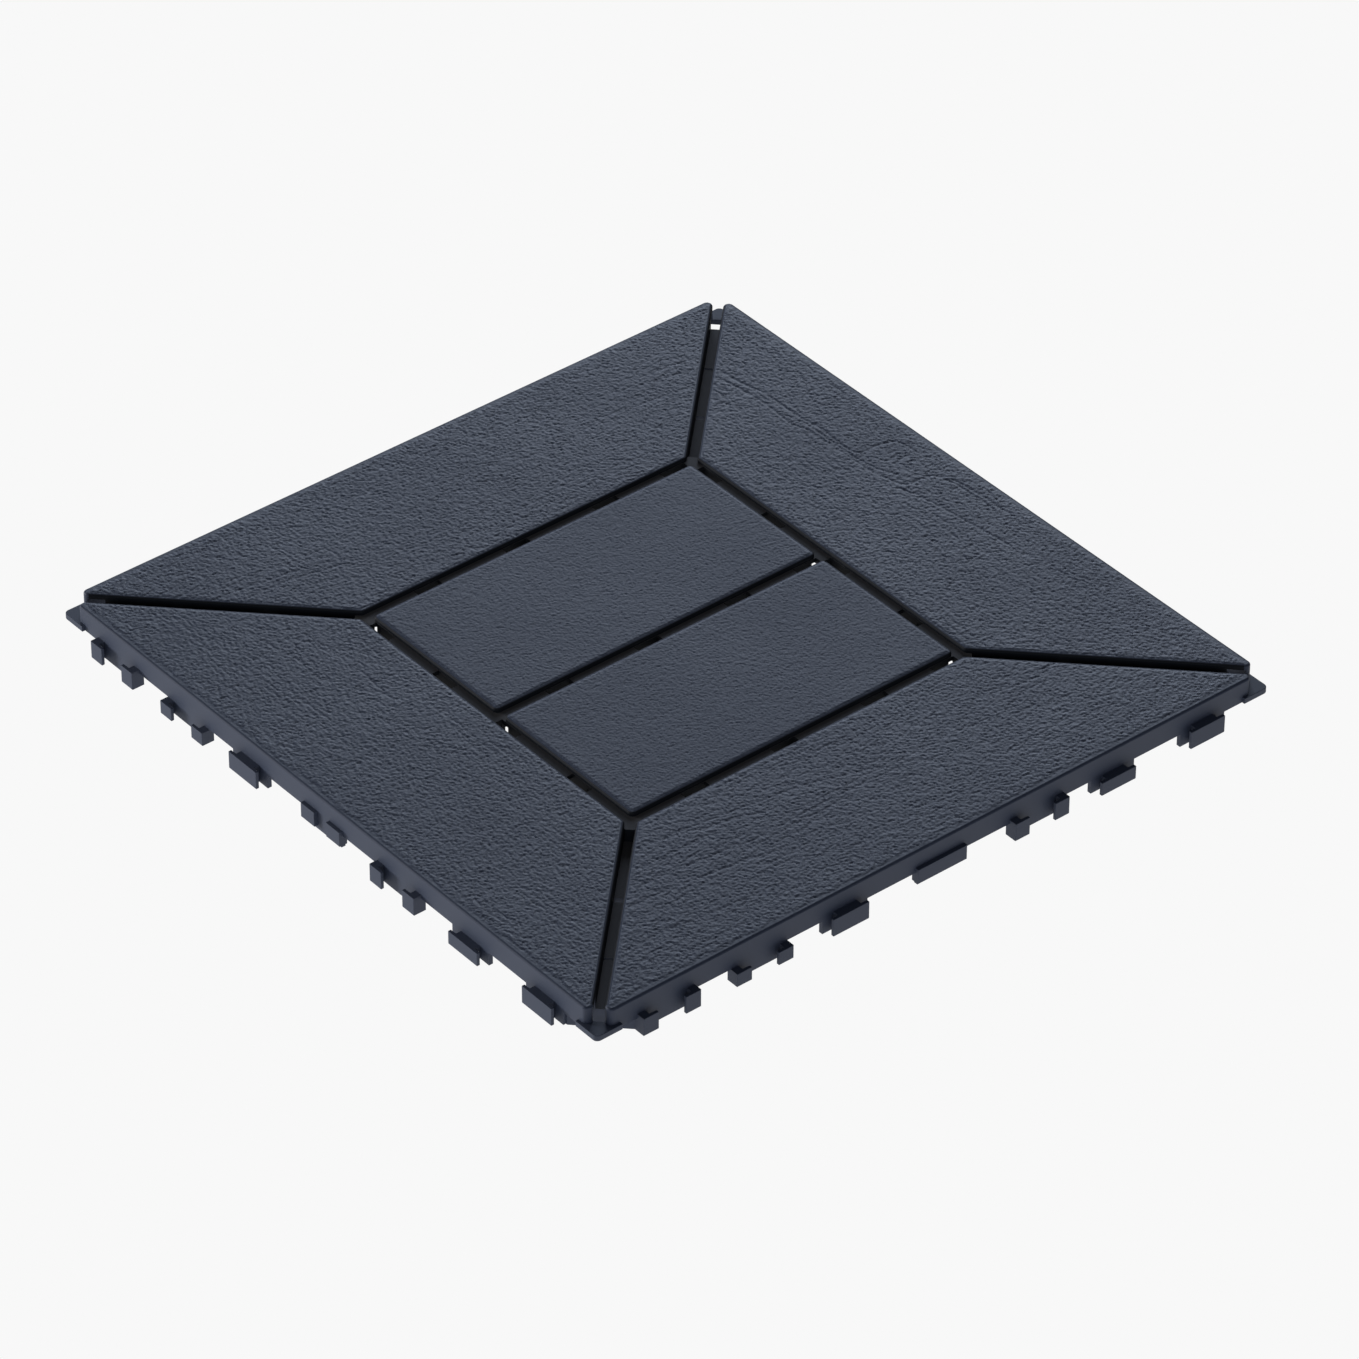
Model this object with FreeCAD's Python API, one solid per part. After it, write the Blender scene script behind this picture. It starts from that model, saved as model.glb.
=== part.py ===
import FreeCAD, Part
import math
import os

from FreeCAD import Vector

# Interlocking deck tile, injection-moulded in one piece from polypropylene.
# Six boards stand up from a thin ribbed shell: four mitred boards make a frame round the
# edge, and two slats fill the middle. Hooks and T-shaped tabs along each side lock the tile
# to its neighbours.
# Millimetres, +Z up. The origin is on the ground, under the middle of the tile.

# Overall
deck_side = 300.0
tile_height = 15.0

# Boards, seen from above
frame_board_width = 73.1
board_gap = 4.0
tip_radius = 2.1
corner_radius = 2.1
edge_radius = 1.0

# Grooves between the boards, measured down from the walking surface
groove_depth = 2.0
mitre_depth = 7.2

# Shell
skin = 2.2
wall = 1.7
channel_wall = 1.6
groove_skin = 1.7
wall_depth = 9.5

# Ribs and feet on the underside
rib = 1.5
rib_pitch = 24.0
foot_length = 10.0

# Drain slots in the grooves round the middle, and their places along X and along Y
slot_length = 11.0
slot_width = 3.6
slots_along_x = (-65.0, -29.0, 7.0, 46.5)
slots_along_y = (-46.0, -6.0, 35.0, 67.0)

# Windows low in the walls at the slats' corners, which join the hollows under the tile
window_inside = 2.6
window_outside = 1.0

# Mitre channels, measured along the diagonal from the middle of the tile
channel_start = 109.5
channel_end = 199.1
corner_hole_end = 205.6
hole_undercut = 2.0
narrow_slit = 1.2
narrow_slit_at = 173.0
wide_slit = 2.3
wide_slit_at = 141.5

# Lugs at the four corners, and the chamfered skirt below them that stands on the ground
lug_side = 11.25
lug_reach = 1.35
lug_radius = 2.0
skirt_inset = 1.1
skirt_wall = 1.5
skirt_length = 4.0

# T tabs and the low wall behind them
tee_width = 15.9
stem_width = 10.2
plate_thickness = 1.3
tall_height = 7.3
short_height = 5.5
tee_backing = 2.05

# Clearances of a T tab in the hooks of the next tile
stem_clearance = 0.75
end_clearance = 1.1
hook_clearance = 0.4
wall_clearance = 0.5

# Hooks
hook_arm = 3.3

# Stop pads in the middle of each side
pad_span = 22.0
pad_notch = 6.7
pad_overhang = 1.0
pad_reach = 1.65
pad_bottom = 1.6
pad_top = 7.7

# Places of the connectors along X on the front and along Y on the right side. Each row is
# tall hooks, short hooks, tall tab, then past the stop pad tall hooks, short tab, tall tab.
front_places = (-119.6, -78.1, -42.2, 42.7, 81.9, 122.0)
right_places = (-120.5, -80.2, -42.4, 43.9, 79.2, 120.9)

# Worked out from the sizes above
half = deck_side / 2
wall_bottom = tile_height - wall_depth
roof = tile_height - skin
groove_floor = tile_height - groove_depth
groove_roof = groove_floor - groove_skin
channel_floor = tile_height - mitre_depth
frame_inner = half - frame_board_width
middle_half = frame_inner - board_gap
groove_middle = frame_inner - board_gap / 2
hook_opening = stem_width + 2 * stem_clearance
hook_inner = tee_width + 2 * end_clearance
hook_outer = hook_inner + 2 * hook_arm
plate_back = half + plate_thickness + hook_clearance + wall_clearance
plate_front = plate_back + plate_thickness
through = 1.0
same_place = 1e-6
eighth_turn = 45.0
quarter_turns = (0, 90, 180, 270)


def box(x_span, y_span, z_span):
    """A box between two limits on each axis."""
    size = [high - low for low, high in (x_span, y_span, z_span)]
    return Part.makeBox(*size, Vector(x_span[0], y_span[0], z_span[0]))


def centred(place, width):
    """The two limits of a width about a place."""
    return (place - width / 2, place + width / 2)


def prism(corners, z_span):
    """A flat outline given by its corners, raised from one height to another."""
    points = [Vector(x, y, z_span[0]) for x, y in corners]
    face = Part.Face(Part.makePolygon(points + points[:1]))
    return face.extrude(Vector(0, 0, z_span[1] - z_span[0]))


def turned(shape, degrees):
    """A copy turned about the tile's middle."""
    copy = shape.copy()
    copy.rotate(Vector(0, 0, 0), Vector(0, 0, 1), degrees)
    return copy


def on_four_sides(shape):
    return [turned(shape, degrees) for degrees in quarter_turns]


def along_diagonal(start, end, width, z_span):
    """A box that lies along the diagonal from the middle to the +X +Y corner."""
    return turned(box((start, end), centred(0, width), z_span), eighth_turn)


def upright_edges(solid, accept):
    """The vertical edges whose place in plan is accepted."""
    found = []
    for edge in solid.Edges:
        first, last = edge.Vertexes[0].Point, edge.Vertexes[-1].Point
        if math.hypot(first.x - last.x, first.y - last.y) < same_place and accept(first):
            found.append(edge)
    return found


def top_edges(solid):
    return [edge for edge in solid.Edges
            if all(abs(vertex.Z - tile_height) < same_place for vertex in edge.Vertexes)]


def frame_board_outline(inner_inset, outer_inset, side_inset):
    """The mitred outline of the board on the +X side, drawn in by some insets."""
    inner = frame_inner + inner_inset
    outer = half - outer_inset
    mitre = (board_gap / 2 + side_inset) * math.sqrt(2)
    low_side = [(inner, mitre - inner), (outer, mitre - outer)]
    return low_side + [(outer, outer - mitre), (inner, inner - mitre)]


def slat_outline(inset):
    """The outline of the slat on the +X side of the middle groove."""
    left = board_gap / 2 + inset
    right = middle_half - inset
    return [(left, -right), (right, -right), (right, right), (left, right)]


def frame_board():
    """One of the four outer boards, with rounded tips and a rounded walking edge."""
    board = prism(frame_board_outline(0, 0, 0), (wall_bottom, tile_height))
    tips = upright_edges(board, lambda point: point.x > half - through)
    board = board.makeFillet(tip_radius, tips)
    corners = upright_edges(board, lambda point: point.x < frame_inner + through)
    board = board.makeFillet(corner_radius, corners)
    return board.makeFillet(edge_radius, top_edges(board))


def slat():
    """One of the two slats in the middle."""
    board = prism(slat_outline(0), (wall_bottom, tile_height))
    board = board.makeFillet(corner_radius, upright_edges(board, lambda point: True))
    return board.makeFillet(edge_radius, top_edges(board))


def corner_lug():
    """The flat plate that closes the +X +Y corner below the boards' tips."""
    high = half + lug_reach
    low = high - lug_side
    lug = box((low, high), (low, high), (wall_bottom, channel_floor))
    tip = upright_edges(lug, lambda point: point.x + point.y > 2 * high - through)
    return lug.makeFillet(lug_radius, tip)


def corner_skirt():
    """The chamfered wall under the +X +Y corner, flush with the end of the channel floor."""
    outer = half - skirt_inset
    chamfer = channel_end * math.sqrt(2) - outer
    start = chamfer - skirt_length
    outline = [(start, outer), (chamfer, outer), (outer, chamfer), (outer, start)]
    inner = outer - skirt_wall
    inner_chamfer = chamfer - skirt_wall * math.tan(math.radians(eighth_turn / 2))
    outline += [(inner, start), (inner, inner_chamfer), (inner_chamfer, inner), (start, inner)]
    return prism(outline, (0, roof))


def body_block():
    """Boards, groove floors, channel floors, lugs and skirts, still solid underneath."""
    boards = on_four_sides(frame_board()) + [slat(), turned(slat(), 180)]
    inside = frame_inner + channel_wall
    groove_bed = box((-inside, inside), (-inside, inside), (wall_bottom, groove_floor))
    bed_width = board_gap + channel_wall
    channel_bed = along_diagonal(0, channel_end, bed_width, (wall_bottom, channel_floor))
    pieces = boards + [groove_bed]
    for corner in (channel_bed, corner_lug(), corner_skirt()):
        pieces += on_four_sides(corner)
    return pieces[0].multiFuse(pieces[1:])


def mitre_cuts():
    """The deep channels on the diagonals, their slits and the holes at the corners."""
    channel = along_diagonal(channel_start, channel_end, board_gap, (channel_floor, tile_height))
    hole = along_diagonal(channel_end, corner_hole_end, board_gap, (wall_bottom, tile_height))
    under_width = board_gap + 2 * hole_undercut
    undercut = along_diagonal(channel_end, corner_hole_end, under_width, (wall_bottom, roof))
    mouth = along_diagonal(corner_hole_end, deck_side, board_gap, (channel_floor, tile_height))
    cuts = [channel, hole, undercut, mouth]
    for width, place in ((narrow_slit, narrow_slit_at), (wide_slit, wide_slit_at)):
        slit_span = (wall_bottom - through, channel_floor + through)
        cuts.append(along_diagonal(*centred(place, width), board_gap, slit_span))
    return [copy for cut in cuts for copy in on_four_sides(cut)]


def rib_lines(low, high):
    """Places of the ribs between two limits, on a pitch counted from the middle of the tile."""
    first = math.ceil(low / rib_pitch)
    last = math.floor(high / rib_pitch)
    return [number * rib_pitch for number in range(first, last + 1)]


def long_rib_places(x_span):
    """The two ribs along a board stand at the thirds of the hollow under it."""
    width = x_span[1] - x_span[0]
    return (x_span[0] + width / 3, x_span[0] + width * 2 / 3)


def board_ribs(x_span):
    """Two ribs along a board, and ribs across it on the pitch."""
    ribs = [box(centred(x, rib), (-half, half), (0, tile_height)) for x in long_rib_places(x_span)]
    return ribs + [box(x_span, centred(y, rib), (0, tile_height)) for y in rib_lines(-half, half)]


def groove_pockets(x_span):
    """The hollows under a groove that runs along Y."""
    reach = middle_half - channel_wall
    z_span = (wall_bottom - through, groove_roof)
    crossing = [box(x_span, centred(y, rib), z_span) for y in rib_lines(-reach, reach)]
    return box(x_span, (-reach, reach), z_span).cut(crossing)


frame_hollow = (frame_inner + channel_wall, half - wall)
slat_hollow = (board_gap / 2 + channel_wall, middle_half - channel_wall)


def pockets():
    """The hollows under the boards and under the grooves, divided by the ribs."""
    z_span = (wall_bottom - through, roof)
    under_frame = prism(frame_board_outline(channel_wall, wall, channel_wall), z_span)
    under_slat = prism(slat_outline(channel_wall), z_span).cut(board_ribs(slat_hollow))
    hollows = on_four_sides(under_frame.cut(board_ribs(frame_hollow)))
    hollows += [under_slat, turned(under_slat, 180)]
    hollows += on_four_sides(groove_pockets((middle_half, frame_inner)))
    return hollows + [groove_pockets((-board_gap / 2, board_gap / 2))]


def drain_slots():
    """Slots through the floors of the grooves round the middle."""
    slots = []
    z_span = (wall_bottom - through, tile_height)
    for x in slots_along_x:
        for y in (-groove_middle, groove_middle):
            slots.append(box(centred(x, slot_length), centred(y, slot_width), z_span))
    for y in slots_along_y:
        for x in (-groove_middle, 0.0, groove_middle):
            slots.append(box(centred(x, slot_width), centred(y, slot_length), z_span))
    return slots


def corner_windows():
    """Openings through the walls at the slats' corners, below the floors of the grooves."""
    near, far = board_gap / 2, middle_half
    across = ((near - window_outside, near + window_inside), (far - window_inside, far + window_outside))
    y_span = across[1]
    z_span = (wall_bottom - through, groove_roof)
    windows = [box(x_span, y_span, z_span) for x_span in across]
    windows += [window.mirror(Vector(0, 0, 0), Vector(0, 1, 0)) for window in windows]
    return windows + [turned(window, 180) for window in windows]


def foot(x, y):
    """A cross-shaped foot, where two crossing ribs carry on down to the ground."""
    z_span = (0, wall_bottom + through)
    along_x = box(centred(x, foot_length), centred(y, rib), z_span)
    return along_x.fuse(box(centred(x, rib), centred(y, foot_length), z_span))


def feet():
    """Feet on every second crossing of the ribs, staggered between the two long ribs."""
    found = []
    boards = ((frame_hollow, frame_inner, quarter_turns), (slat_hollow, middle_half, (0, 180)))
    for hollow, reach, turns in boards:
        for row, x in enumerate(long_rib_places(hollow)):
            for y in rib_lines(-reach, reach):
                if round(y / rib_pitch) % 2 == row:
                    found += [turned(foot(x, y), degrees) for degrees in turns]
    return found


def side_block(along, outward, z_span):
    """A box on the -Y side, given by its place along the side and its distance outward."""
    return box(along, (-outward[1], -outward[0]), z_span)


def low_wall(place, width):
    """The wall behind a connector, which comes down to the ground."""
    return side_block(centred(place, width), (half - wall, half), (0, wall_bottom + through))


def tee(place, height):
    """A T tab: a plate held off the wall by a narrower stem."""
    plate = side_block(centred(place, tee_width), (plate_back, plate_front), (0, height))
    stem = side_block(centred(place, stem_width), (half - wall, plate_back), (0, height))
    return [plate, stem, low_wall(place, tee_width + 2 * tee_backing)]


def hook_pair(place, height):
    """Two hooks that face each other, with room between them for the stem of a T tab."""
    pieces = [low_wall(place, hook_outer)]
    for side in (-1, 1):
        end = place + side * hook_outer / 2
        lip = place + side * hook_opening / 2
        arm = end - side * hook_arm
        pieces.append(side_block(sorted((lip, end)), (plate_back, plate_front), (0, height)))
        pieces.append(side_block(sorted((arm, end)), (half - wall, plate_back), (0, height)))
    return pieces


def stop_pads(notched):
    """The flat pad that meets the next tile, with a notch in it on two of the sides."""
    spans = [centred(0, pad_span)]
    if notched:
        spans = [(-pad_span / 2, -pad_notch / 2), (pad_notch / 2, pad_span / 2)]
    outward = (half - wall, half + pad_reach)
    pads = [side_block(span, outward, (pad_bottom, pad_top)) for span in spans]
    return pads + [low_wall(0, pad_span - 2 * pad_overhang)]


def connectors(places, notched):
    """Everything along the -Y side, from left to right as seen from outside."""
    pieces = hook_pair(places[0], tall_height) + hook_pair(places[1], short_height)
    pieces += tee(places[2], tall_height) + stop_pads(notched)
    pieces += hook_pair(places[3], tall_height) + tee(places[4], short_height)
    return pieces + tee(places[5], tall_height)


def facing(places):
    """Places on the opposite side, where each tab meets the hooks of the next tile."""
    return tuple(-place for place in reversed(places))


def deck_tile():
    """The whole moulding: the block, hollowed and slotted, with feet and connectors added."""
    hollowed = body_block().cut(mitre_cuts() + pockets() + drain_slots() + corner_windows())
    added = feet()
    rows = ((0, front_places, True), (90, right_places, False),
            (180, facing(front_places), False), (270, facing(right_places), True))
    for degrees, places, notched in rows:
        added += [turned(piece, degrees) for piece in connectors(places, notched)]
    return hollowed.multiFuse(added).removeSplitter()


os.makedirs("parts", exist_ok=True)
tile = deck_tile()
tile.exportStep("parts/deck_tile.step")
print("deck_tile:", len(tile.Solids), "solid,", len(tile.Faces), "faces, valid:", tile.isValid())
print("volume in cm3:", round(tile.Volume / 1000, 1), "box:", tile.BoundBox)
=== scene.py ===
# %% [markdown]
# # An interlocking deck tile
# This tile is a floor for a balcony or a garden path. It is moulded in one shot from dark
# blue-grey polypropylene. Six boards stand on a thin shell, and a row of hooks and T tabs
# round the rim locks each tile to the next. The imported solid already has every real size, so
# this file adds what a solid leaves out: the pressed wood grain, the softened edges of the
# small parts, the plastic's surface, and the light of a studio.

import math

import bmesh
import bpy
import numpy as np
from mathutils import Matrix, Vector, noise


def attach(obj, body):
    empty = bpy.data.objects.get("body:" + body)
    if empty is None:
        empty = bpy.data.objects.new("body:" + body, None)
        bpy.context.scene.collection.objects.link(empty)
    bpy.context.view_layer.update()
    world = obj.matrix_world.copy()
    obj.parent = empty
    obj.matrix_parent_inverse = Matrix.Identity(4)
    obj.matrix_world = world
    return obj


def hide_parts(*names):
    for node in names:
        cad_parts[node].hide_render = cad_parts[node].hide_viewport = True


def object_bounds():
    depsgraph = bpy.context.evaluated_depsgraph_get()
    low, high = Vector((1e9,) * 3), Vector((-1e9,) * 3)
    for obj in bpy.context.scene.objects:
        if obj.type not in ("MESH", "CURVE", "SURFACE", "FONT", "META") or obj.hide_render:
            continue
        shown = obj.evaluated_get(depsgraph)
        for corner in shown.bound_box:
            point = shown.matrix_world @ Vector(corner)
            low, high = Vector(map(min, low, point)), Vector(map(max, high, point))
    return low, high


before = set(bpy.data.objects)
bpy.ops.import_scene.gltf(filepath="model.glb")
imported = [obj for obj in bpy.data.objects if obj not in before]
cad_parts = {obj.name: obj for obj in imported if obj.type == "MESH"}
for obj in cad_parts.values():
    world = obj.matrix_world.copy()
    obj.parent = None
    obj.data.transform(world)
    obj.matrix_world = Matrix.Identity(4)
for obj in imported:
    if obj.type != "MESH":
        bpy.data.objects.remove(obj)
solid_box = [[float(value) for value in corner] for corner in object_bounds()]
MM = 0.001
WALKING_HEIGHT = solid_box[1][2]
WALL_PLANE = 150 * MM
ROUNDING = 1.0 * MM
RIM_DROP = 0.34 * MM
print("the packed tile's box in metres:", solid_box)

# %% [markdown]
# ## The camera
# The tile is seen from above one corner, through a long lens, so that its straight edges stay
# nearly parallel. A camera can be aimed with a Track To constraint, but the angle, the roll and
# the offset are all known here. They are turned into three axes and written as one matrix,
# which has no hidden rounding.

# %% Place the camera
AZIMUTH = math.radians(50.649)
ELEVATION = math.radians(37.391)
ROLL = math.radians(0.128)
DISTANCE = 2.64818
ASIDE = 0.006137
ABOVE = -0.016466
LENS = 198.857
SENSOR_WIDTH = 36
FARTHEST_SEEN = 20

level_part = math.cos(ELEVATION)
sideways = Vector((math.cos(AZIMUTH), math.sin(AZIMUTH), 0))
backward = Vector((math.sin(AZIMUTH) * level_part, -math.cos(AZIMUTH) * level_part,
                   math.sin(ELEVATION)))
upward = backward.cross(sideways)
camera_place = (backward * DISTANCE + sideways * ASIDE + upward * ABOVE
                + Vector((0, 0, WALKING_HEIGHT)))
camera_x = sideways * math.cos(ROLL) + upward * math.sin(ROLL)
camera_y = upward * math.cos(ROLL) - sideways * math.sin(ROLL)
camera_axes = Matrix((camera_x, camera_y, backward)).transposed().to_4x4()

camera = bpy.data.objects.new("camera", bpy.data.cameras.new("camera"))
camera.data.lens = LENS
camera.data.sensor_width = SENSOR_WIDTH
camera.data.clip_end = FARTHEST_SEEN
camera.matrix_world = Matrix.Translation(camera_place) @ camera_axes
bpy.context.scene.collection.objects.link(camera)
bpy.context.scene.camera = camera
print("camera at", [round(value, 4) for value in camera_place])

# %% [markdown]
# ## Nodes as sentences
# A material is a graph, and a graph that is built line by line is hard to read. Two small
# classes help. `Wire` is one output that can be added, subtracted and multiplied like a number,
# and each such step adds its Math node. `Recipe` adds any other node: it takes the node's type,
# its settings, and what goes into its sockets.

# %% Wires and recipes for materials
class Wire:
    """An output socket that can be used in sums."""

    def __init__(self, recipe, socket):
        self.recipe = recipe
        self.socket = socket

    def __add__(self, other):
        return self.recipe.maths("ADD", self, other)

    def __sub__(self, other):
        return self.recipe.maths("SUBTRACT", self, other)

    def __rsub__(self, other):
        return self.recipe.maths("SUBTRACT", other, self)

    def __mul__(self, other):
        return self.recipe.maths("MULTIPLY", self, other)

    __radd__ = __add__
    __rmul__ = __mul__


class Recipe:
    """A new material, and the one method that adds its nodes."""

    def __init__(self, name):
        self.material = bpy.data.materials.new(name)
        self.material.use_nodes = True
        self.tree = self.material.node_tree
        self.shader = self.tree.nodes["Principled BSDF"]

    def node(self, kind, output=0, settings=None, **inputs):
        """Adds any node. An underscore in an input's name stands for a space."""
        made = self.tree.nodes.new(kind)
        for name, value in (settings or {}).items():
            setattr(made, name, value)
        for name, value in inputs.items():
            self.feed(made.inputs[name.replace("_", " ")], value)
        return Wire(self, made.outputs[output])

    def maths(self, operation, *values):
        """Adds a Math node. Its sockets share one name, so they are fed in order."""
        made = self.tree.nodes.new("ShaderNodeMath")
        made.operation = operation
        for socket, value in zip(made.inputs, values):
            self.feed(socket, value)
        return Wire(self, made.outputs[0])

    def feed(self, socket, value):
        """Links a wire to a socket, or sets the socket to a plain value."""
        if isinstance(value, Wire):
            self.tree.links.new(value.socket, socket)
        else:
            socket.default_value = value

    def finish(self, **inputs):
        """Feeds the shader and gives back the material."""
        for name, value in inputs.items():
            self.feed(self.shader.inputs[name.replace("_", " ")], value)
        print("material", self.material.name, "has", len(self.tree.nodes), "nodes")
        return self.material


# %% [markdown]
# ## The plastic
# Polypropylene has a soft, broad highlight and no coat. Several finishes come out of the same
# mould. The boards are pressed against engraved steel, so they carry a fine grit between the
# ripples, and the slats come out a little duller than the boards. The walls and the connectors
# are pressed against plain ground steel, so they are smoother. Pigment never mixes quite
# evenly, so every finish drifts a little in tone over a few centimetres.
#
# The rounded outer rims throw less highlight. Inside the grooves the colour is painted shade: near
# black on the walls, and a dark grey on the floors, painted a little lighter for the light they
# catch.
# A groove only keeps the colour of the boards near its rim. That is a blend on height, and not a
# second solid.

# %% Finishes from one mould, and painted shade in the grooves
PIGMENT = (0.025, 0.034, 0.060, 1)
PIGMENT_PALE = (0.028, 0.037, 0.064, 1)
# Painted shade for the grooves: near black on their walls, dark grey on their floors, which catch
# a little more light.
GROOVE_PAINTED_SHADE = (0.010, 0.012, 0.016, 1)
FLOOR_PAINTED_SHADE = (0.060, 0.059, 0.062, 1)
SHINY = 0.4
LESS_SHINY = 0.3
DULL = 0.12
GROOVE_TOP = WALKING_HEIGHT - RIM_DROP
GROOVE_BLEND = 0.20 * MM
DRIFTS_PER_METRE = 22.0
ROUGHNESS_DRIFT = 0.08
# The Mix node has sockets of every type under the same names, so its colours go by number.
MIX_FIRST, MIX_SECOND, MIX_RESULT = 6, 7, 2


def blended(recipe, share, first, second):
    """A colour between two others."""
    mix = recipe.node("ShaderNodeMix", settings={"data_type": "RGBA"}).socket.node
    recipe.feed(mix.inputs["Factor"], share)
    recipe.feed(mix.inputs[MIX_FIRST], first)
    recipe.feed(mix.inputs[MIX_SECOND], second)
    return Wire(recipe, mix.outputs[MIX_RESULT])


def moulded_plastic(name, grit, grit_height, roughness, highlight=SHINY, painted_shade=None):
    """Pigmented plastic with a grit of a given size and height, and perhaps painted shade deep
    down.
    """
    recipe = Recipe(name)
    place = recipe.node("ShaderNodeTexCoord", output="Object")
    drift = recipe.node("ShaderNodeTexNoise", Vector=place, Scale=DRIFTS_PER_METRE, Detail=2.0)
    fleck = recipe.node("ShaderNodeTexNoise", Vector=place, Scale=1 / grit, Detail=2.0,
                        Roughness=0.6)
    colour = blended(recipe, drift, PIGMENT, PIGMENT_PALE)
    # Below the groove rims the colour blends into painted shade.
    if painted_shade:
        height = recipe.node("ShaderNodeSeparateXYZ", output="Z", Vector=place)
        depth = recipe.maths("MULTIPLY", GROOVE_TOP - height, 1 / GROOVE_BLEND)
        depth.socket.node.use_clamp = True
        colour = blended(recipe, depth, colour, painted_shade)
    relief = recipe.node("ShaderNodeBump", Height=fleck, Distance=grit_height, Strength=1.0)
    recipe.shader.inputs["Specular IOR Level"].default_value = highlight
    return recipe.finish(Base_Color=colour, Roughness=drift * ROUGHNESS_DRIFT + roughness,
                         Normal=relief)


board_plastic = moulded_plastic("board_plastic", 0.9 * MM, 0.06 * MM, 0.48)
slat_plastic = moulded_plastic("slat_plastic", 0.9 * MM, 0.06 * MM, 0.52)
smooth_plastic = moulded_plastic("smooth_plastic", 1.2 * MM, 0.01 * MM, 0.58)
rim_plastic = moulded_plastic("rim_plastic", 1.2 * MM, 0.01 * MM, 0.64, highlight=LESS_SHINY)
groove_painted_shade = moulded_plastic("groove_painted_shade", 1.2 * MM, 0.02 * MM, 0.60, highlight=DULL,
                                 painted_shade=GROOVE_PAINTED_SHADE)
# The groove floors get a lighter painted shade, for the little more light they catch.
floor_painted_shade = moulded_plastic("floor_painted_shade", 1.2 * MM, 0.02 * MM, 0.60, highlight=DULL,
                                painted_shade=FLOOR_PAINTED_SHADE)

# %% [markdown]
# ## The shell
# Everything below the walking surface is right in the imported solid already. Its mesh comes as
# loose triangles, so a copy is merged and its flat faces are made whole. The six flat tops are
# taken off, because finer ones with the pressed grain take their place. Their outlines are
# kept, so that the new tops meet the rounded edges exactly.

# %% Copy the solid and take off its six flat tops
SAME_POINT = 1e-6
SAME_HEIGHT = 1e-5
NEARLY_FLAT = math.radians(0.5)
FACES_UP = 0.999


def merged_copy(node):
    """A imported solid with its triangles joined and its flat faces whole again."""
    solid = bmesh.new()
    solid.from_mesh(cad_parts[node].data)
    bmesh.ops.remove_doubles(solid, verts=solid.verts[:], dist=SAME_POINT)
    bmesh.ops.dissolve_limit(solid, angle_limit=NEARLY_FLAT, verts=solid.verts[:],
                             edges=solid.edges[:])
    return solid


shell = merged_copy("deck_tile")
flat_tops = [face for face in shell.faces
             if face.normal.z > FACES_UP and face.verts[0].co.z > WALKING_HEIGHT - SAME_HEIGHT]
outlines = [[vert.co.copy() for vert in face.verts] for face in flat_tops]
bmesh.ops.delete(shell, geom=flat_tops, context="FACES_ONLY")
print(len(flat_tops), "tops taken off, with corners:", [len(outline) for outline in outlines])

# %% [markdown]
# The real boards are not flat right up to their rims. They fall away a little at the edges,
# which makes the near rims darker and the far ones brighter. So the top two millimetres of the
# shell are squashed, and the finer tops come down to meet them.

# %% Squash the rounded rims
SQUASH_START = WALKING_HEIGHT - 2.0 * MM

for vert in shell.verts:
    if vert.co.z > SQUASH_START:
        vert.co.z -= RIM_DROP * (vert.co.z - SQUASH_START) / (WALKING_HEIGHT - SQUASH_START)
print("the rims now reach", round(max(vert.co.z for vert in shell.verts) / MM, 2), "mm")

# %% [markdown]
# The hooks, tabs and pads are sharp in the solid, but no moulding leaves its mould with razor
# edges. A Bevel modifier would also reach into the ribs and slots, where there is no room for
# it. So the bevel operator gets only the outer edges that stand clear of the wall.

# %% Soften the edges of the hooks, tabs and pads
SOFT_EDGE = 0.22 * MM
CLEAR_OF_WALL = 0.1 * MM
CRISP_ANGLE = math.radians(50)


def stands_clear(vert):
    """True for a corner outside the plane of the tile's walls."""
    return max(abs(vert.co.x), abs(vert.co.y)) > WALL_PLANE + CLEAR_OF_WALL


crisp = [edge for edge in shell.edges
         if len(edge.link_faces) == 2 and edge.is_convex and edge.calc_face_angle(0) > CRISP_ANGLE
         and all(stands_clear(vert) for vert in edge.verts)]
bmesh.ops.bevel(shell, geom=crisp, offset=SOFT_EDGE, offset_type="OFFSET", segments=2,
                profile=0.5, affect="EDGES", clamp_overlap=True, material=-1)
print(len(crisp), "edges softened on the connectors")

# %% [markdown]
# The shell gets four materials: the smooth walls and connectors, the rounded outer rims, and
# painted shade on the walls of the grooves and on their floors, whose shade is painted a little
# lighter because they catch a little more light. The faces could be picked one by one in a
# viewport, but a rule on place and direction can be read and changed.

# %% Mark the faces of the rims and the grooves
SMOOTH, RIM, GROOVE_WALL, GROOVE_FLOOR = range(4)
RIM_START = WALL_PLANE - 1.1 * ROUNDING
RIM_BOTTOM = WALKING_HEIGHT - RIM_DROP - ROUNDING
FLAT_WALL = WALL_PLANE - 0.01 * MM
LUG_START = 290 * MM
UNDERSIDE = 7 * MM
FLOOR_FACES_UP = 0.9


def finish_or_shade_of(face):
    """Which of the four materials a face of the shell gets; two of them are painted groove shade.
    """
    centre = face.calc_center_median()
    outermost = max(abs(centre.x), abs(centre.y))
    if outermost > RIM_START:
        return RIM if centre.z > RIM_BOTTOM and outermost < FLAT_WALL else SMOOTH
    if abs(centre.x) + abs(centre.y) > LUG_START or centre.z < UNDERSIDE:
        return SMOOTH
    is_floor = face.normal.z > FLOOR_FACES_UP and centre.z < GROOVE_TOP
    return GROOVE_FLOOR if is_floor else GROOVE_WALL


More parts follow.
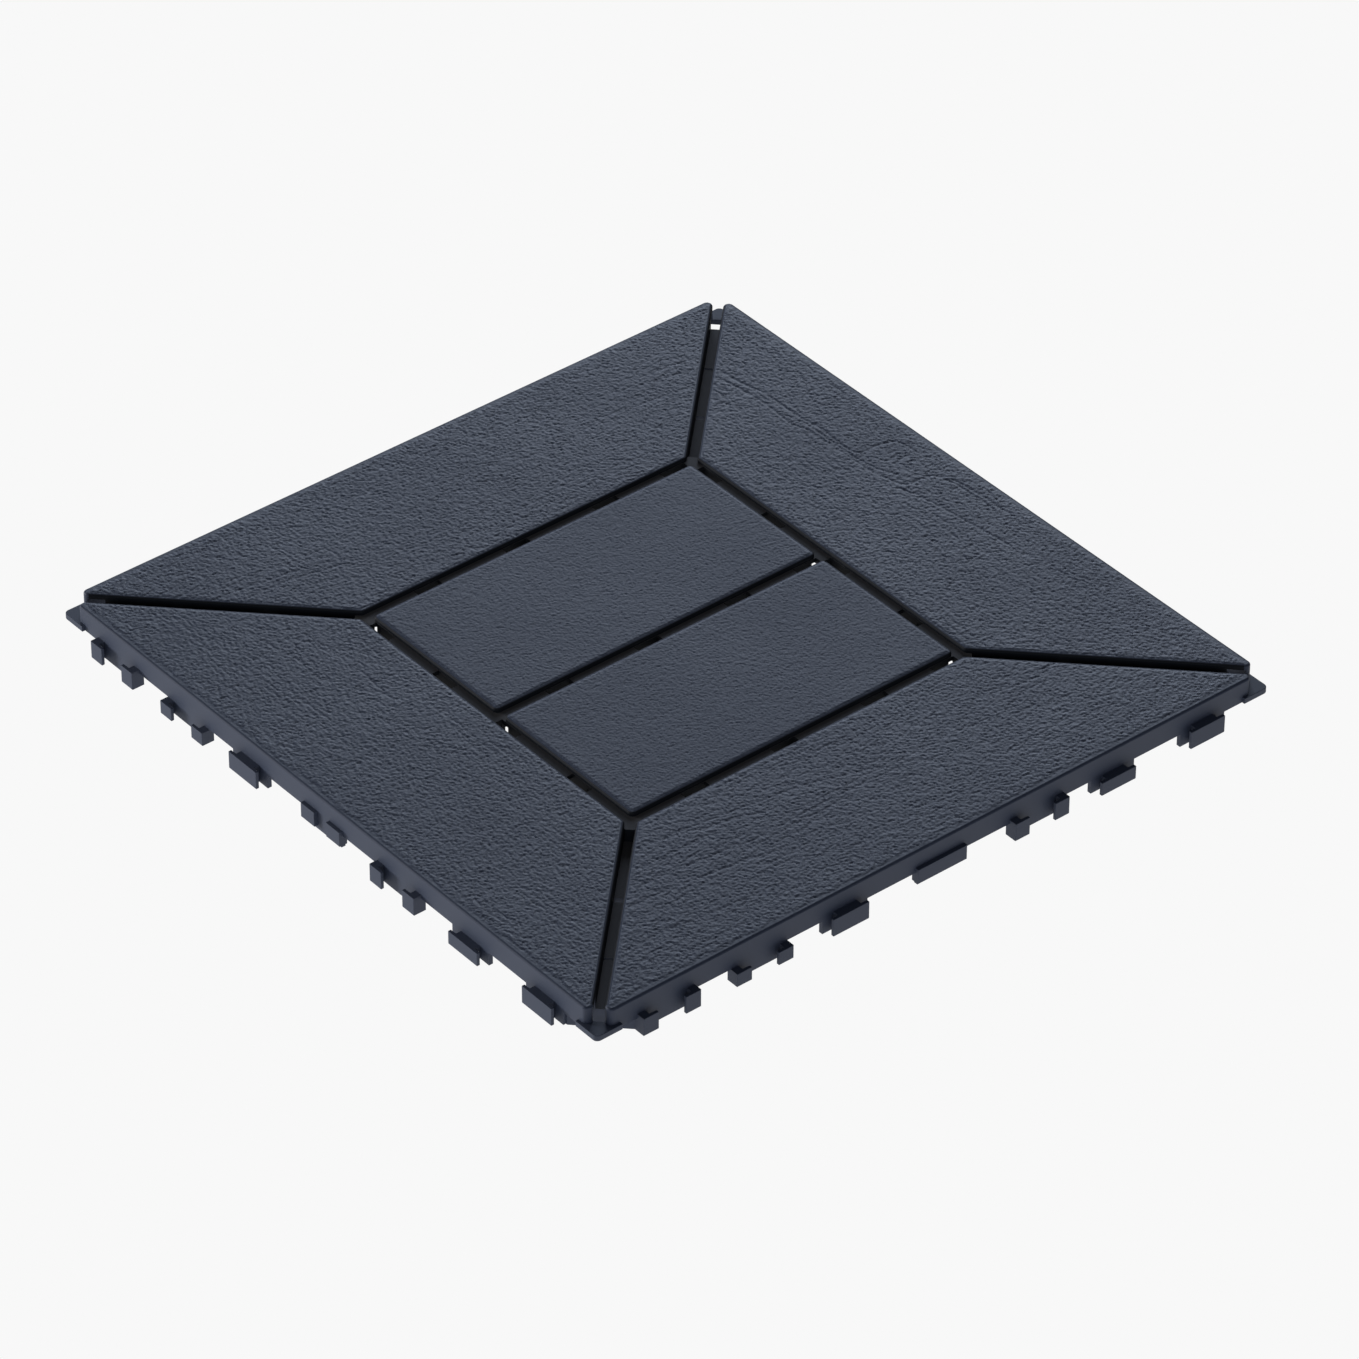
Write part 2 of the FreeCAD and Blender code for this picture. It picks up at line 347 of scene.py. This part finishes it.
for face in shell.faces:
    face.material_index = finish_or_shade_of(face)
marked = sum(face.material_index > 0 for face in shell.faces)
print(marked, "faces belong to the rims and the grooves")

# %% [markdown]
# Every piece is handed over in the same way. It rides on the tile's one body, it is of the one
# plastic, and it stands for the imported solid. Shading that is smooth across small angles hides
# the facets of the rounded edges, but it also bends the light on the big flat walls. A Weighted
# Normal modifier on the shell puts those right.

# %% Turn a bmesh into a piece of the tile
SHARP_FROM = 30
NEVER_SHARP = 180


def tile_piece(name, form, materials, smooth_below=SHARP_FROM):
    """A piece that rides on the tile and stands for its solid. The angle is in degrees."""
    for face in form.faces:
        face.smooth = True
    for edge in form.edges:
        edge.smooth = edge.calc_face_angle(0) < math.radians(smooth_below)
    mesh = bpy.data.meshes.new(name)
    form.to_mesh(mesh)
    form.free()
    for material in materials:
        mesh.materials.append(material)
    piece = bpy.data.objects.new(name, mesh)
    bpy.context.scene.collection.objects.link(piece)
    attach(piece, "root")
    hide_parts("deck_tile")
    triangles = sum(len(polygon.vertices) - 2 for polygon in mesh.polygons)
    print(name, "has", triangles, "triangles")
    return piece


shell_finishes_and_shade = [smooth_plastic, rim_plastic, groove_painted_shade, floor_painted_shade]
shell_piece = tile_piece("shell", shell, shell_finishes_and_shade)
even_shading = shell_piece.modifiers.new("even_shading", "WEIGHTED_NORMAL")
even_shading.keep_sharp = True

# %% [markdown]
# ## The pressed grain
# The boards of the real tile copy planed wood. Close up there are three layers. The first is a
# net of small ripples less than a millimetre wide, like leather. The second is a faint set of
# long lines that follow each board. The third is a few scored lines, and on the back board they
# part round a knot. All are real dents in the plastic, so they are modelled as height and not
# painted. A Displace modifier could push them in, but then each layer would need its own
# texture. Here they are plain sums over all points of a board.
#
# `noise` gives a smooth random height at a point. It depends only on the place and a seed, so
# the same tile comes out on every run.

# %% Noise over many points
def noise_field(along, across, seed):
    """Smooth noise at each point, with features about one unit wide."""
    return np.array([noise.noise((a, b, seed)) for a, b in zip(along, across)])


def ease(value, low, high):
    """0 below the low limit, 1 above the high one, and smooth between them."""
    share = np.clip((value - low) / (high - low), 0, 1)
    return share * share * (3 - 2 * share)


# %% [markdown]
# The absolute value of a noise has sharp creases where it crosses zero. Turned over, it is a
# net. A finer noise between the creases is the grit, and both get the same weight.
#
# The long lines are the crests of a cosine across the board. A slow noise bends them, a quick
# one makes them tremble, and a third one decides where they show. Each noise has its own
# number added to the seed, so that no two of them agree.

# %% Ripples and long lines
DRIFT_SIZE = 3
GRIT_SIZE = 0.6
RELIEF_SHARE = 0.17
SLOW_BEND, SLOW_LENGTH, SLOW_WIDTH = 1.6, 50, 25
QUICK_BEND, QUICK_LENGTH, QUICK_WIDTH = 0.15, 7, 4
BEND = 2.5
NARROWNESS = 5
SHOWN_LENGTH, SHOWN_WIDTH = 38, 9
SHOWN_BETWEEN = (0.05, 0.35)


def ripples(along, across, size, stretch, seed):
    """A net of creases and a grit between them, from 0 to 1. Lengths are in millimetres."""
    along = along / stretch
    drift = noise_field(along / (DRIFT_SIZE * size), across / (DRIFT_SIZE * size), seed)
    net = -np.abs(noise_field(along / size + drift, across / size - drift, seed + 10))
    grit = noise_field(along / (GRIT_SIZE * size), across / (GRIT_SIZE * size), seed + 20)
    relief = (net - net.mean()) / net.std() + (grit - grit.mean()) / grit.std()
    return np.clip(0.5 + RELIEF_SHARE * relief, 0, 1)


def long_lines(along, across, pitch, seed):
    """Narrow grooves from 0 to 1 that run along a board and come and go."""
    slow = SLOW_BEND * noise_field(along / SLOW_LENGTH, across / SLOW_WIDTH, seed)
    quick = QUICK_BEND * noise_field(along / QUICK_LENGTH, across / QUICK_WIDTH, seed + 1)
    crests = np.cos(2 * math.pi * (across + BEND * (slow + quick)) / pitch)
    shown = ease(noise_field(along / SHOWN_LENGTH, across / SHOWN_WIDTH, seed + 2), *SHOWN_BETWEEN)
    return np.clip(crests, 0, 1) ** NARROWNESS * shown


# %% [markdown]
# The scored lines stay in one place on every tile, because they are cut into the mould. Noise
# can't put them there, so they are drawn as chains of points, in millimetres from the middle of
# the tile. The dent at a point depends on its distance to the nearest chain.

# %% Scored lines, and the knot of the back board
LINE_WIDTH = 0.50


def scored_lines(x, y, lines):
    """Narrow grooves from 0 to 1 along drawn lines. All in millimetres."""
    nearest = np.full(len(x), np.inf)
    for line in lines:
        for (x0, y0), (x1, y1) in zip(line, line[1:]):
            run, rise = x1 - x0, y1 - y0
            share = np.clip(((x - x0) * run + (y - y0) * rise) / (run ** 2 + rise ** 2), 0, 1)
            nearest = np.minimum(nearest, np.hypot(x - x0 - share * run, y - y0 - share * rise))
    return np.exp(-(nearest / LINE_WIDTH) ** 2)


KNOT_LINES = [
    [(-112.6, 118.2), (-100.4, 119.6), (-89.6, 122.1), (-75.1, 122.2), (-57, 123.6),
     (-45.7, 122.9), (-40, 123.8), (-38.9, 126.5), (-38.7, 129.7), (-38.4, 134.5),
     (-36.9, 139), (-34.5, 140.5), (-32.5, 141), (-26.6, 141.1)],
    [(-108.6, 115), (-98.4, 116.7), (-86.3, 118.1), (-68.9, 117), (-62.6, 119.3),
     (-52.5, 119.8), (-42.5, 120.2), (-33.8, 120.4), (-24.2, 121.2), (-16.5, 123.4),
     (-13.8, 124.6), (-12.8, 126.6), (-12.8, 130.5), (-12.9, 134.4), (-11.5, 136.4),
     (-9.2, 137.6), (-2.4, 139.4), (7.4, 139.7), (17.8, 139.6)],
    [(-72.1, 119.7), (-65.2, 121.5), (-54.7, 121.6), (-44, 121.5), (-36.7, 121.6),
     (-27, 123.5), (-20.5, 126.5)],
    [(-26.2, 129.8), (-27.2, 136.4)],
    [(-29.2, 129.2), (-29.7, 136)],
    [(-14, 121.3), (-6.6, 123.8), (4.5, 125.8), (16.1, 127.1), (27.6, 128.5), (39.1, 129.8)],
    [(-6.1, 140), (1.2, 141.3), (12.3, 141.9), (25.1, 142.1)],
]
LEFT_LINES = [
    [(-126.6, 92.8), (-125.7, 104.8), (-123.5, 115.7)],
    [(-122.7, 89.6), (-121, 99.7), (-118.2, 111.3)],
    [(-113.4, 82.1), (-111.9, 94.8), (-110.3, 104.8)],
    [(-109.1, -100.2), (-108.2, -83), (-104.1, -63.7)],
    [(-116.1, -114.5), (-114.7, -100.5), (-110.8, -76.7)],
]
FRONT_LINES = [
    [(-86, -112.1), (-73.4, -110.5)],
    [(-50.3, -95.8), (-31.2, -97.1)],
]
RIGHT_LINES = [
    [(88.9, -83.2), (90.7, -71.8), (93.6, -60.1), (97.1, -48.9), (100, -38.3)],
    [(88.4, -81.5), (92.9, -49.8), (97.5, -17.8), (104.2, 3.6)],
    [(97.9, -89.3), (98, -77.7), (98.1, -68.5), (98.1, -59.1)],
    [(105.1, -96.3), (105.8, -84.1), (107, -73.5), (108.3, -60.5), (110.7, -47.2)],
    [(111.7, -106.3), (112.4, -89.5), (114.9, -72.9), (117.9, -53.2)],
    [(128.6, -121.1), (128.9, -103), (131.4, -86.5), (133.4, -66)],
]
print(len(KNOT_LINES), "lines are drawn round the knot")

# %% [markdown]
# ## The six walking faces
# Each face starts as a flat grid of squares a little under half a millimetre wide. It is cut
# along every edge of the outline that was kept from the solid. Then every point is pressed down
# by the grain, which fades out at the rim. Along the outside of the tile the fall is wider, and
# its width wavers as if the mould was polished there by hand. Nothing rises above the walking
# surface, so the tile keeps its height.

# %% Cut a grid to an outline and press the grain into it
BOARD_STEP = 0.45 * MM
SLAT_STEP = 0.40 * MM
BORDER = (0.0, 0.6)
RIM_WIDTH = 0.8
OUTER_RIM = 3.0
RIM_WAVER = 1.8
WAVER_LENGTH = 6
LINE_PITCH = 2.6
ON_EDGE = 1e-7
UP = Vector((0, 0, 1))


def cut_grid(outline, step):
    """A fine flat grid inside a convex outline that runs anticlockwise."""
    low = Vector([min(corner[axis] for corner in outline) for axis in range(3)])
    high = Vector([max(corner[axis] for corner in outline) for axis in range(3)])
    size = high - low
    grid = bmesh.new()
    bmesh.ops.create_grid(grid, x_segments=round(size.x / step), y_segments=round(size.y / step),
                          size=0.5)
    spread = Matrix.Translation((low + high) / 2) @ Matrix.Diagonal((size.x, size.y, 1, 1))
    bmesh.ops.transform(grid, matrix=spread, verts=grid.verts[:])
    for start, end in zip(outline, outline[1:] + outline[:1]):
        everything = grid.verts[:] + grid.edges[:] + grid.faces[:]
        bmesh.ops.bisect_plane(grid, geom=everything, dist=ON_EDGE, plane_co=start,
                               plane_no=(end - start).cross(UP), clear_outer=True)
    return grid


def inside_distance(places, outline):
    """How far each point lies inside the outline, in millimetres."""
    nearest = np.full(len(places), np.inf)
    for start, end in zip(outline, outline[1:] + outline[:1]):
        inward = UP.cross(end - start).normalized()
        nearest = np.minimum(nearest, (places - np.array(start[:2])) @ np.array(inward[:2]))
    return nearest / MM


def press_grain(grid, outline, runs_along_x, seed, ripple_size, stretch, ripple_depth, line_depth,
                drawn=(), drawn_depth=0.0):
    """Moves every point of the grid down by the grain. Depths are in millimetres."""
    places = np.array([vert.co[:2] for vert in grid.verts])
    along, across = places.T / MM if runs_along_x else places.T[::-1] / MM
    dents = ripple_depth * (1 - ripples(along, across, ripple_size, stretch, seed))
    dents += line_depth * long_lines(along, across, LINE_PITCH, seed + 40)
    dents += drawn_depth * scored_lines(*places.T / MM, drawn)
    from_wall = (WALL_PLANE - ROUNDING - np.abs(places).max(axis=1)) / MM
    waver = noise_field(along / WAVER_LENGTH, across / WAVER_LENGTH, seed + 60)
    inside = np.minimum(inside_distance(places, outline),
                        from_wall / (OUTER_RIM + RIM_WAVER * waver))
    dents = dents * ease(inside, *BORDER) + RIM_DROP / MM * (1 - ease(inside, 0, RIM_WIDTH))
    for vert, dent in zip(grid.verts, dents):
        vert.co.z -= dent * MM
    return float(dents.max())


# %% [markdown]
# The four frame boards are mitred, and the grain follows the length of each one. The two slats
# lie along Y. They have finer and flatter ripples and no scored lines, so they look calmer than
# the frame. The outlines come from the solid in no fixed order, so each is named by its place.

# %% Make the four frame boards and the two slats
SLAT_REACH = 60 * MM
ON_BOARDS = dict(ripple_size=0.76, stretch=1.15, ripple_depth=0.41, line_depth=0.09)
ON_SLATS = dict(ripple_size=0.64, stretch=1.0, ripple_depth=0.26, line_depth=0.02)
GRAIN = {
    "board_front": dict(runs_along_x=True, seed=1.5, **ON_BOARDS,
                        drawn=FRONT_LINES, drawn_depth=0.10),
    "board_back": dict(runs_along_x=True, seed=2.5, **ON_BOARDS,
                       drawn=KNOT_LINES, drawn_depth=0.18),
    "board_left": dict(runs_along_x=False, seed=3.5, **ON_BOARDS,
                       drawn=LEFT_LINES, drawn_depth=0.12),
    "board_right": dict(runs_along_x=False, seed=4.5, **ON_BOARDS,
                        drawn=RIGHT_LINES, drawn_depth=0.10),
    "slat_left": dict(runs_along_x=False, seed=5.5, **ON_SLATS),
    "slat_right": dict(runs_along_x=False, seed=6.5, **ON_SLATS),
}


def name_of(outline):
    """Names a board by where its outline lies."""
    centre = sum(outline, Vector()) / len(outline)
    if abs(centre.x) < SLAT_REACH and abs(centre.y) < SLAT_REACH:
        return "slat_left" if centre.x < 0 else "slat_right"
    if abs(centre.x) > abs(centre.y):
        return "board_left" if centre.x < 0 else "board_right"
    return "board_front" if centre.y < 0 else "board_back"


for outline in outlines:
    name = name_of(outline)
    is_board = name.startswith("board")
    top = cut_grid(outline, BOARD_STEP if is_board else SLAT_STEP)
    deepest = press_grain(top, outline, **GRAIN[name])
    tile_piece(name, top, [board_plastic if is_board else slat_plastic], NEVER_SHARP)
    print(name, "is pressed", round(deepest, 3), "mm deep at most")

# %% [markdown]
# ## The studio
# The tile lies on an evenly lit white table, which throws light back up and leaves no shadow.
# That is why the slots through the tile look white. The table is an emitter of one flat tone.

# %% The lit table
TABLE_TONE = 0.939
TABLE_REACH = 4
TABLE_GAP = 0.2 * MM

table_form = bmesh.new()
bmesh.ops.create_grid(table_form, x_segments=1, y_segments=1, size=TABLE_REACH)
bmesh.ops.translate(table_form, vec=(0, 0, -TABLE_GAP), verts=table_form.verts[:])
table_mesh = bpy.data.meshes.new("table")
table_form.to_mesh(table_mesh)
table_form.free()
table = bpy.data.objects.new("table", table_mesh)
bpy.context.scene.collection.objects.link(table)

glow = Recipe("lit_table")
glow.shader.inputs["Specular IOR Level"].default_value = 0.0
table_mesh.materials.append(glow.finish(Base_Color=(0, 0, 0, 1),
                                        Emission_Color=(TABLE_TONE, TABLE_TONE, TABLE_TONE, 1),
                                        Emission_Strength=1.0, Roughness=1.0))

# %% [markdown]
# Dark plastic shows its shape mostly by what it mirrors. A wide cool lamp stands low behind the
# tile and brings out the ripples, and a weaker one stands in front for the views from behind.
# Two small lamps at the sides light the walls, and the room round them is nearly dark.

# %% Lamps and surroundings
ROOM_TONE = 0.075


def lamp(name, place, size, power, tint=(1, 1, 1)):
    """A square lamp that faces the middle of the tile."""
    light = bpy.data.lights.new(name, "AREA")
    light.size = size
    light.energy = power
    light.color = tint
    holder = bpy.data.objects.new(name, light)
    facing = Vector(place).to_track_quat("Z", "Y").to_matrix().to_4x4()
    holder.matrix_world = Matrix.Translation(place) @ facing
    bpy.context.scene.collection.objects.link(holder)
    print("lamp", name, "gives", power, "watts")


lamp("lamp_behind", (-6.80, 6.30, 3.5), 4.0, 372, tint=(0.81, 0.92, 1.12))
lamp("lamp_front", (6.80, -6.30, 3.5), 4.0, 165, tint=(0.90, 0.96, 1.08))
lamp("lamp_left", (-2.9, -1.9, 0.5), 0.9, 128)
lamp("lamp_right", (1.9, 2.9, 0.5), 0.9, 1)

surroundings = bpy.data.worlds.new("surroundings")
surroundings.use_nodes = True
background = surroundings.node_tree.nodes["Background"]
background.inputs["Color"].default_value = (ROOM_TONE, ROOM_TONE, ROOM_TONE, 1)
bpy.context.scene.world = surroundings
bpy.context.scene.view_settings.view_transform = "Standard"
